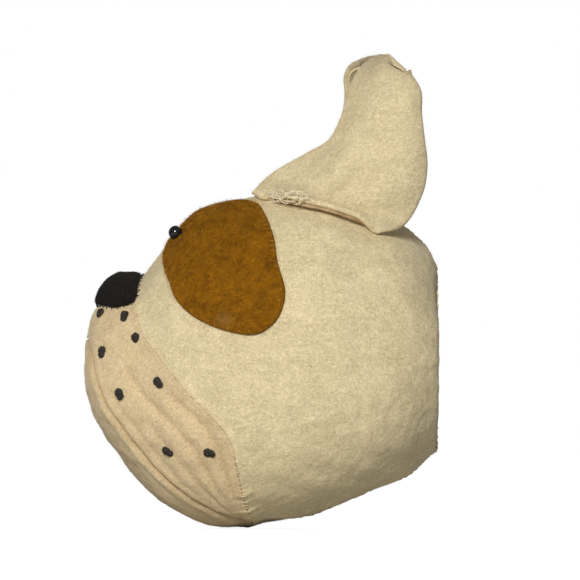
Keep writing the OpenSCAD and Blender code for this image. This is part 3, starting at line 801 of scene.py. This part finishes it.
# Painted shade darkens each mouth lining towards its edge, in the lip's crease
for name, node, body, near, far, depth in (
        ("roof", "mouth_roof", "head", PLATE_GAP, PLATE_GAP + LINING, ROOF_DEPTH),
        ("floor", "mouth_floor", "jaw", -PLATE_GAP - LINING, -PLATE_GAP, FLOOR_DEPTH)):
    low, high = plate_point(g, f, depth, near), plate_point(g, f, depth, far)
    cut_piece("mouth_" + name + "_lining", high, low, mouth_felt, body, "mouth_felt", node,
              (0.11, 0.11), form="disc", shade=0.6 * bell(f, 1, 0.1))

# ------------------------ stuffing
HOLLOW = 1 - STUFFING_SHARE


def stuffing(name, near, far, node, seed):
    """Wadding under the felt, round the room left for the hand."""
    g, f = np.meshgrid(np.linspace(-118, 118, 90), np.linspace(0, 1, 46))
    a, b = chart(g, mix(near(g), far(g), f))
    p = skin(a, b)
    inner = np.stack([mix(-HEAD_LENGTH / 2, p[..., 0], 0.86), p[..., 1] * HOLLOW,
                      p[..., 2] * HOLLOW], -1)
    lumps = 0.7 * waves(p, 22, seed) + 0.35 * waves(p, 9, seed + 1)
    top = p - (FELT + 1.6 + 0.5 * np.abs(lumps))[..., None] * outward(a, b)
    inner = inner + np.clip(lumps, -1, 1)[..., None] * 0.9 * outward(a, b)
    obj = sheet_mesh(name, top, inner, wadding, radius=5.0)
    place(obj, "head", "stuffing", node)


stuffing("crown_wadding", lambda g: seam_reach(g) + 0.02, lambda g: 0.82 * rim_reach(g),
         "crown_stuffing", 51)
stuffing("muzzle_wadding", lambda g: lip_edge(g, 14), lambda g: seam_reach(g) + 0.01,
         "muzzle_stuffing", 53)
g, f = np.meshgrid(np.linspace(-180, 180, 90, endpoint=False), np.linspace(0, 1, 24))
a, b = chart(g, lip_edge(g, -LIP_GAP / 2) * 0.8 * f)
p, n = skin(a, b), outward(a, b)
lumps = 0.25 * waves(p, 14, 57)[..., None]
pad = sheet_mesh("jaw_wadding", p - (FELT + CLEARANCE + 0.7 + lumps) * n,
                 p - (FELT + CLEARANCE + 2.3 + lumps) * n, wadding, "disc", radius=2.0)
place(pad, "jaw", "stuffing", "jaw_padding")

# ------------------------ hand opening
turn = around(220)


def round_x(radius, x, theta):
    return np.stack([np.broadcast_to(x, theta.shape), radius * np.sin(theta),
                     radius * np.cos(theta)], -1)


HEM_STITCHES = 36
t, f = np.meshgrid(turn, np.linspace(0, 1, 60))
fall = np.interp(f, [0, 1], [OPENING_RADIUS, SLEEVE_END])
creases = (0.35 * np.sin(9 * t + 4 * f) + 0.25 * np.sin(17 * t - 6 * f + 1)) * smooth(0, 0.2, f)
x = -HEM_LENGTH - SLEEVE_LENGTH * f
cotton_top = round_x(fall + COTTON / 2 + 0.2 + creases, x, t)
cotton_bottom = round_x(fall - COTTON / 2 + 0.2 + creases, x, t)
cut_piece("sleeve_cotton_tube", cotton_top, cotton_bottom, sleeve_cotton, "head",
          "sleeve_cotton", "hand_sleeve", (0.252, 0.063), ["hem_felt"], form="tube")

# The hem is the felt's edge rolled inward, drawn in a little under each stitch
t, v = np.meshgrid(turn, around(40))
drawn = 0.3 * np.cos(HEM_STITCHES * t) * (0.5 - 0.5 * np.cos(v))
c, s = np.cos(v), np.sin(v)
round_r = np.sign(s) * np.abs(s) ** 0.8 * (HEM_WALL / 2 - 0.1)
round_l = np.sign(c) * np.abs(c) ** 0.35 * HEM_LENGTH / 2
lump = 0.2 * np.sin(5 * t + 2 * v) + 0.15 * np.sin(13 * t)
hem_points = round_x(OPENING_RADIUS + HEM_WALL / 2 + round_r + 0.3 * lump - drawn * (s > 0),
                     -HEM_LENGTH / 2 + round_l, t)
faces = grid_faces(40, 220, True)
faces += [[39 * 220 + j, j, (j + 1) % 220, 39 * 220 + (j + 1) % 220] for j in range(220)]
hem = tidy_mesh(new_object("hem_felt", hem_points.reshape(-1, 3), faces, cream_felt,
                           np.full(40 * 220, 0.35)))
place(hem, "head", "cream_felt", "wrist_hem")

pile = Pile()
for k in range(HEM_STITCHES):
    theta = 2 * np.pi * k / HEM_STITCHES
    arc = np.linspace(-1, 1, 9)
    reach = RIM + 1.6 + 1.6 * arc
    forward = 0.1 * (1 - arc**2) - 0.6 * np.abs(arc) ** 3
    pile.thread(round_x(reach - 2.0, forward, theta + 0.03 * arc), THREAD)
place(pile.object("hem_whip_stitches", cream_thread), "head", "cream_thread", "hem_stitches")


# ------------------------ stitches on the surface
def whip(pile, a, b, way_a, way_b, half, rise, width, slant=0.0, sink=0.7, lift=0.0):
    """One stitch over an edge: in one side, over the top and down the other."""
    way = np.array([way_a, way_b]) / np.hypot(way_a, way_b)
    e = 0.004
    mm = np.linalg.norm(skin(a + e * way[0], b + e * way[1])
                        - skin(a - e * way[0], b - e * way[1])) / (2 * e)
    t = np.linspace(-1, 1, 9)
    step = half / mm
    side = np.array([-way[1], way[0]]) * slant / mm
    path = surface(a + (way[0] * step + side[0]) * t, b + (way[1] * step + side[1]) * t,
                   lift + rise - (rise + sink) * t**4)
    pile.thread(path, width)


def whip_along(pile, bearing, reach, side, *stitch):
    """One stitch over a seam of the chart, across its bearing."""
    a, b = chart(bearing, reach)
    turn = np.radians(bearing)
    whip(pile, a, b * side, np.cos(turn), np.sin(turn) * side, *stitch)


rng = np.random.default_rng(7)
pile = Pile()
SEAM_STITCHES, SEAM_STITCH_START = 44, 24
for side in (1, -1):
    for k in range(SEAM_STITCHES):
        step = (k + rng.uniform(-0.15, 0.15)) / (SEAM_STITCHES - 1)
        g = mix(SEAM_STITCH_START, SEAM_END - 2, np.clip(step, 0, 1))
        whip_along(pile, g, seam_reach(g), side, rng.uniform(1.1, 1.7), 0.3, THREAD * 0.6,
                   rng.uniform(0.2, 0.9))
place(pile.object("muzzle_whip_stitches", cream_thread), "head", "cream_thread",
      "muzzle_seam_stitches")

pile = Pile()
for count, start, way in ((46, 0.25, 1), (28, 0.482, -1)):
    for k in range(count):
        a = way * mix(start, 0.97, (k + rng.uniform(-0.15, 0.15)) / (count - 1))
        whip(pile, a, 0.0, 0, 1, rng.uniform(1.6, 2.2), 0.15, THREAD * 0.75, 0.7)
place(pile.object("crown_whip_stitches", cream_thread), "head", "cream_thread",
      "crown_seam_stitches")

pile = Pile()
for g in np.linspace(-180, 180, 13)[1:-1]:
    throat = 180 - 30 * np.abs(g) / 180
    for side in (1, -1):
        whip_along(pile, throat, lip_edge(throat, THROAT_GAP), side, 1.5, 0.15, THREAD * 0.7,
                   0.5)
place(pile.object("throat_whip_stitches", cream_thread), "head", "cream_thread")

# ------------------------ nose
def nose_grid(rows, cols, lift, bulge):
    """The nose pad over the muzzle: q goes across it and v from its straight front edge."""
    q, v = np.meshgrid(np.sin(np.linspace(-np.pi / 2, np.pi / 2, cols)) * 0.985,
                       np.linspace(0, 1, rows))
    a = mix(mix(NOSE_FRONT, NOSE_CORNER, q**2), mix(NOSE_BACK, NOSE_CORNER, q**2), v)
    b = NOSE_HALF * q
    high = (1 - q**2) ** 0.4 * np.sin(np.pi * v**1.35) ** 0.6
    return surface(a, b, lift + bulge * high), q, v


def inflate(obj, voxel, pressure, cap, frames=20):
    """Swells a stuffed piece by cloth simulation, then keeps the moves under a cap."""
    remesh = obj.modifiers.new("remesh", "REMESH")
    remesh.mode, remesh.voxel_size = "VOXEL", voxel
    apply_modifiers(obj)
    before = points_of(obj)
    cloth = obj.modifiers.new("cloth", "CLOTH")
    cloth.settings.use_pressure = True
    cloth.settings.uniform_pressure_force = pressure
    cloth.settings.quality = 6
    cloth.settings.effector_weights.gravity = 0
    scene = bpy.context.scene
    cloth.point_cache.frame_start, cloth.point_cache.frame_end = 1, frames
    for number in range(1, frames + 1):
        scene.frame_set(number)
    apply_modifiers(obj)
    scene.frame_set(1)
    moved = points_of(obj) - before
    far = np.linalg.norm(moved, axis=-1, keepdims=True)
    keep = before + moved * np.minimum(1, cap / np.maximum(far, 1e-9))
    obj.data.vertices.foreach_set("co", keep.astype(np.float32).reshape(-1))
    subdivide = obj.modifiers.new("smooth", "SUBSURF")
    subdivide.levels = subdivide.render_levels = 1
    apply_modifiers(obj)
    obj.data.shade_smooth()


def points_of(obj):
    flat = np.empty(len(obj.data.vertices) * 3, np.float32)
    obj.data.vertices.foreach_get("co", flat)
    return flat.reshape(-1, 3).astype(float)


def apply_modifiers(obj):
    graph = bpy.context.evaluated_depsgraph_get()
    mesh = bpy.data.meshes.new_from_object(obj.evaluated_get(graph))
    materials = list(obj.data.materials)
    obj.modifiers.clear()
    obj.data = mesh
    if not mesh.materials:
        for m in materials:
            mesh.materials.append(m)


outer, q, v = nose_grid(34, 66, NOSE_SEAT + 1.2, NOSE_HEIGHT - 0.6)
inner, _, _ = nose_grid(34, 66, NOSE_SEAT * 0.4, 0)
nose = sheet_mesh("nose_felt_pad", outer, inner, black_felt, radius=1.2)
inflate(nose, 0.0011, 3.0, 0.0012)
place(nose, "head", "black_felt", "nose_pad")
slope = unit(np.cross(np.gradient(outer, axis=1), np.gradient(outer, axis=0)))
slope *= np.sign((slope * outward(*chart(0, 0.4))).sum(-1).mean())
fuzz("nose_fuzz", outer, slope, black_fibre, 2600, 1.2, 41, "head", "black_felt", 0.03, 0.3)

pile = Pile()
for edge, most, count, inset, lean, rise, width in (
        (NOSE_FRONT, 0.94, 19, 0.003, 0.2, 1.2, 0.9), (NOSE_BACK, 0.9, 17, 0, -0.6, 1.0, 0.7)):
    for k in np.linspace(-most, most, count):
        whip(pile, mix(edge, NOSE_CORNER, k**2) + inset, NOSE_HALF * k, 1, lean * k, 0.9, rise,
             THREAD * width, 0.2)
place(pile.object("nose_whip_stitches", nose_thread), "head", "black_thread",
      "nose_stitches")


# ------------------------ eye patch and eyes
def patch_chart(at, f):
    outline = np.array(PATCH_OUTLINE)
    n = len(outline)
    k = np.floor(at).astype(int)
    u = (at - k)[..., None]
    p, q, r, t = (outline[(k + shift) % n] for shift in (-1, 0, 1, 2))
    edge = (q + (r - p) * u / 2 + (2 * p - 5 * q + 4 * r - t) * u**2 / 2
            + (3 * q - p - 3 * r + t) * u**3 / 2)
    point = mix(np.array(PATCH_MIDDLE), edge, f[..., None])
    return point[..., 0], point[..., 1]


at, f = np.meshgrid(np.linspace(0, len(PATCH_OUTLINE), 150, endpoint=False),
                    stops(60, 60, PATCH_FELT / 2, first=False))
a, b = patch_chart(at, f)
puff = 0.35 * (1 - f**4)
worn = 0.45 * bell(np.hypot(a - 0.165, (b - 0.405)), 0, 0.013)
top = surface(a, b, CLEARANCE + PATCH_FELT + puff)
bottom = surface(a, b, CLEARANCE * 0.4)
cut_piece("eye_patch_felt", top, bottom, brown_felt, "head", "brown_felt", "eye_patch",
          (0.085, 0.1), ["left_head_felt"], form="disc", shade=worn)
fuzz("eye_patch_fuzz", top, outward(a, b), brown_fibre, 9000, 2.4, 61, "head", "brown_felt",
     0.045, 0.4, (0.6, 0, 0.8))

pile = Pile()
PATCH_STITCHES = 74
for k in range(PATCH_STITCHES):
    place_on = np.array(k * len(PATCH_OUTLINE) / PATCH_STITCHES)
    a, b = patch_chart(place_on, np.array(0.955))
    ia, ib = a - PATCH_MIDDLE[0], b - PATCH_MIDDLE[1]
    whip(pile, a, b, ia, ib, rng.uniform(1.2, 1.7), PATCH_FELT + rng.uniform(-0.25, 0.2),
         THREAD * 0.55, rng.uniform(-0.5, 0.7), 0.2, 0.3)
place(pile.object("patch_whip_stitches", brown_thread), "head", "brown_thread",
      "patch_stitches")


def bead(name, side, lift, node):
    """A glossy bead with a sunken thread hole, on a collar of thread."""
    a, b = EYE_CHART
    up = outward(a, b * side)
    foot = skin(a, b * side) + lift * up
    east = unit(np.cross(up, [0, 1, 0.3]))
    north = np.cross(up, east)
    t = np.linspace(0, np.pi, 40)
    r = BEAD_RADIUS * np.sin(t)
    z = BEAD_RADIUS * (1 - 0.96 * np.cos(t)) - 0.35 * BEAD_RADIUS * bell(r, 0, 0.32)
    z = np.where(t < 1, BEAD_RADIUS * (1 - 0.96 * np.cos(t)), z)[:, None, None]
    turn = around(56)[None, :, None]
    grid = foot + r[:, None, None] * (np.cos(turn) * east + np.sin(turn) * north) + z * up
    obj = tidy_mesh(new_object(name, grid.reshape(-1, 3), grid_faces(40, 56, True),
                               black_bead))
    place(obj, "head", "black_bead", node)
    collar = Pile()
    loops = np.linspace(0, 4 * np.pi, 60)[:, None]
    collar.thread(foot + BEAD_RADIUS * 0.62 * (np.cos(loops) * east + np.sin(loops) * north)
                  + up * (0.1 + 0.03 * loops), 0.45)
    place(collar.object(name + "_thread", dark_thread), "head", "black_thread")


BEAD_PRESS = 1.9   # how deep the bead is drawn into the felt by its thread
bead("left_eye_bead_gloss", 1, PATCH_FELT + 2 * CLEARANCE - BEAD_PRESS, "left_eye_bead")
bead("right_eye_bead_gloss", -1, CLEARANCE - 0.2 * BEAD_PRESS, "right_eye_bead")

# ------------------------ whisker knots
KNOT_LEAN = [-0.1, -0.6, -0.9, -0.1, -0.6, -0.9, -0.7, -1.0]
KNOT_SIZE = 1.42  # over the CAD's radius, as the photo's knots are larger
for side, name in ((1, "left"), (-1, "right")):
    pile = Pile()
    for number, (g, share) in enumerate(KNOTS):
        a, b = chart(g, mix(lip_reach(g), seam_reach(g), share))
        b = b * side
        up = outward(a, b)
        centre = surface(a, b, 0.15)
        lean = KNOT_LEAN[number] * side
        ahead = unit(skin(a + 0.01, b + 0.01 * lean) - skin(a - 0.01, b - 0.01 * lean))
        across = np.cross(up, ahead)
        lobes = [(0.9, 1.0), (-1.15, 0.86)] if number not in (0, 2) else [(0.5, 1.0),
                                                                         (-0.7, 0.8)]
        for shift, size in lobes:
            t = np.linspace(0, 1, 46)[:, None]
            round_it = 2 * np.pi * 3.1 * t + number
            size = size * KNOT_SIZE
            r = KNOT_RADIUS * size * (0.62 - 0.5 * t**2)
            path = (centre + ahead * shift + (np.cos(round_it) * ahead
                    + np.sin(round_it) * across) * r + up * (0.2 + 1.35 * t * size))
            pile.thread(path, 0.85 * size, 0.7)
    place(pile.object(name + "_wound_knots", dark_thread), "head", "black_thread",
          name + "_whisker_knots")


# ------------------------ ears
def ear_leaf(u, v):
    """The ear's pattern, cupped and twisted: u from front to back, v from base to tip."""
    front = [along(EAR_FRONT_LINE, v, k) for k in (1, 2)]
    back = [along(EAR_BACK_LINE, v, k) for k in (1, 2)]
    side = (HALF_WIDTH * along(EAR_SIDE_LINE, u) * (1 - 0.25 * v)
            + 9 * np.sin(np.pi * v) * np.sin(np.pi * (0.2 + 0.6 * u))
            - 5 * v**2 * np.cos(np.pi * u))
    return np.stack([EAR_FRONT[0] + mix(front[0], back[0], u) * EAR_BASE, -side - EAR_GAP,
                     EAR_FRONT[1] + mix(front[1], back[1], u) * EAR_HEIGHT
                     + 5 * np.sin(np.pi * u) * v**6], -1)


def ear_middle(u, v):
    """The ear's pattern with its base set down on the head's skin."""
    leaf, base = ear_leaf(u, v), ear_leaf(u, np.zeros_like(v))
    leaf[..., 2] += (skin_height(base[..., 0], base[..., 1]) + EAR_LIFT
                     - base[..., 2]) * (1 - v) ** 2
    return leaf


# The left ear's tip is cut slanting at the front: [share of the height, mm cut away]
TIP_CUT = [[0, 0], [0.58, 0], [0.7, 1.5], [0.84, 6], [1, 7]]
# How far sewing pulls the outline from its pattern: [share of the height, mm in x, mm in z]
FRONT_PULL = [[0, 0, 0], [0.12, 1, -4.5], [0.28, 1, -5], [0.42, 1, -5], [0.56, 2.5, -3],
              [0.7, 3, -1], [0.84, 3.2, 0], [0.93, 3.5, -0.5], [1, 4.5, -2.5]]
BACK_PULL = [[0, 0, 0], [0.3, 0, 0], [0.42, -1, 0], [0.56, -3, -0.5], [0.7, -3.5, -1],
             [0.84, -1.6, -0.8], [0.93, -1.4, -0.8], [1, -3.5, -1.6]]
TIP_ROUND_START, TIP_ROUND, TIP_DROP = 0.72, 1.5, 0.8
CORNER_ROUND, RIGHT_UNTWIST, BASE_DROP, EDGE_DROP = 2.0, 4.0, 2.8, 1.2
# The base is turned out at its middle: share of the height, mm outward, mm up, mm down
TURN_SHARE, TURN_OUT, TURN_UP, TURN_SINK = 0.085, 7.5, 2.4, 0.2
FOLD_DEPTH, FOLD_RATE, LUMP_DEPTH = 1.5, 7.5, 0.45


def ear_shape(u, v, cut):
    """The ear as sewn, with its soft folds and its base turned out so that the cut edge
    shows. cut is 1 for the left ear's slanting tip and 0 for the right ear."""
    p = ear_middle(u, v)
    for number, column in ((0, 1), (2, 2)):
        p[..., number] += mix(along(FRONT_PULL, v, column), along(BACK_PULL, v, column), u)
    tip = np.clip((v - TIP_ROUND_START) / (1 - TIP_ROUND_START), 0, 1)
    turned = smooth(0.1, 0.3, u) * (1 - smooth(0.8, 0.98, u))
    turned = turned * np.clip(1 - v / TURN_SHARE, 0, 1) ** 2
    p[..., 0] += (TIP_ROUND * tip**3 * (1 - 2 * u) + cut * (1 - u) * along(TIP_CUT, v)
                  + CORNER_ROUND * (1 - u) ** 10 * (1 - v) ** 14)
    p[..., 1] -= (RIGHT_UNTWIST * (1 - cut) * v**2 * np.cos(np.pi * u)
                  + TURN_OUT * turned)
    p[..., 2] += (TURN_UP * turned - TURN_SINK - TIP_DROP * tip**2 * (1 - 2 * u) ** 2
                  - BASE_DROP * (1 - v) ** 5 * smooth(0, 0.1, u) - EDGE_DROP * (1 - v) ** 8)
    spread = np.degrees(np.arctan2((v + 0.12) * EAR_HEIGHT, (u - 0.45) * EAR_BASE))
    folds = np.sin(np.radians(spread * FOLD_RATE))
    folds = folds * bell(v, 0.24, 0.26) * smooth(0.05, 0.16, v)
    p[..., 1] -= FOLD_DEPTH * folds + LUMP_DEPTH * waves(p, 26, 71)
    return p


hinge, axis = np.array(EAR_HINGE), unit(np.array(EAR_AXIS))
ear_up = unit(np.array([0, 0, 1.0]) - axis * axis[2])
EAR_FLAT, LINING_GAP = (0.085, 0.105), 0.04
BLEND_START, BLEND_END = -1.5, 9.0
EAR_STITCHES, STITCH_SHARE, STITCH_SET_BACK, STITCH_SINK = 25, 0.12, 2.0, 0.8
for side, name, cut in ((1, "left", 1), (-1, "right", 0)):
    u, v = np.meshgrid(stops(90, 70, FELT / 2), stops(110, 90, FELT / 2))
    middle = ear_shape(u, v, cut)
    du, dv = np.gradient(middle, axis=1), np.gradient(middle, axis=0)
    out = unit(np.cross(dv, du))
    out *= -np.sign(out[..., 1].mean())
    edge = np.minimum(1 - u, 1 - v)
    # Shade greys the ear a little all over and more toward its back and top edges; painted
    # shade darkens the band just above the turned base, and a painted highlight lightens the
    # cut edge at the base
    shade = (0.12 + 0.7 * bell(edge, 0, 0.15) * smooth(0.3, 0.6, v + 0.25 * u)
             + 0.5 * bell(v, 0.075, 0.035) - 0.12 * bell(v, 0, 0.03))
    flip = np.array([1, side, 1])
    felt_top, felt_low, low = ((middle + out * d) * flip for d in (FELT, 0.02, -LINING))
    blend = ("head", name + "_ear", tuple((hinge + BLEND_START * ear_up) * flip * MM),
             tuple((hinge + BLEND_END * ear_up) * flip * MM))
    cut_piece(name + "_ear_cream_felt", felt_top, felt_low, cream_felt, blend, "cream_felt",
              name + "_ear_felt", EAR_FLAT, [name + "_head_felt"], shade=shade)
    # Painted warm shadow: the lining turns orange-brown along its base, under the turned-out
    # cut edge
    cut_piece(name + "_ear_lining_felt", felt_low - LINING_GAP * out * flip, low, lining_felt,
              blend, "cream_felt", name + "_ear_lining", EAR_FLAT, [name + "_ear_cream_felt"],
              shade=0.95 * bell(v, 0, 0.05))
    fuzz(name + "_ear_fuzz", felt_top, out * flip, cream_fibre, 5000, 2.0, 80 + side, blend,
         "cream_felt")
    fuzz(name + "_ear_lining_fuzz", low, -out * flip, cream_fibre, 2500, 2.0, 90 + side, blend,
         "cream_felt")

    # Stitches hold the turned base to the head, under the cut edge
    pile = Pile()
    for k in np.linspace(0.02, 0.8, EAR_STITCHES):
        foot = ear_shape(np.array([[k]]), np.array([[STITCH_SHARE]]), 0)[0, 0]
        behind = foot[1] + STITCH_SET_BACK
        ground = np.array([foot[0], behind, skin_height(foot[0], behind) - STITCH_SINK])
        path = mix(ground, foot + [0, STITCH_SINK, 0], np.linspace(0, 1, 7)[:, None])
        pile.thread(path * flip, THREAD * 0.8)
    place(pile.object(name + "_ear_whip_stitches", cream_thread), blend, "cream_thread",
          name + "_ear_stitches")


def ear_side(x):
    """How far out the left ear's turned base is."""
    u = np.clip((x - EAR_FRONT[0]) / EAR_BASE, 0, 1)
    return -(HALF_WIDTH * along(EAR_SIDE_LINE, u) + EAR_GAP + FELT + 6.5 * smooth(0.1, 0.3, u))


# Loose ends of the sewing thread, tangled where the left ear's front edge is sewn down
TANGLE_FROM, TANGLE_TO, TANGLE_THREADS = (-83.0, 80.5), (-64.0, 85.0), 24
pile = Pile()
for k in range(TANGLE_THREADS):
    x0, z0 = (rng.uniform(lo, hi) for lo, hi in zip(TANGLE_FROM, TANGLE_TO))
    t = np.linspace(0, 1, 10)
    heading, bend = rng.uniform(-0.9, 0.7), rng.uniform(-5, 5)
    span = rng.uniform(3.5, 9)
    xs = x0 + span * np.cos(heading) * (t - 0.5) + 1.6 * np.sin(1.6 * bend * t + k)
    zs = z0 + span * np.sin(heading) * (t - 0.5) * 0.5 + 1.5 * np.cos(1.6 * bend * t + k)
    ys = np.minimum(head_side(xs, np.minimum(zs, 79)), ear_side(xs) - (zs > 80))
    ys = ys - rng.uniform(0.2, 1.3) - 0.8 * np.sin(np.pi * t)
    pile.tube(resample(np.stack([xs, ys, zs], -1), 0.4), rng.uniform(0.14, 0.26), 5)
place(pile.object("loose_thread_tangle", loose_thread), "head", "cream_thread")

# ------------------------ CAD nodes that stay
for node in ("palate_card", "jaw_card"):
    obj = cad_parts[node]
    obj.data.materials.clear()
    obj.data.materials.append(grey_card)
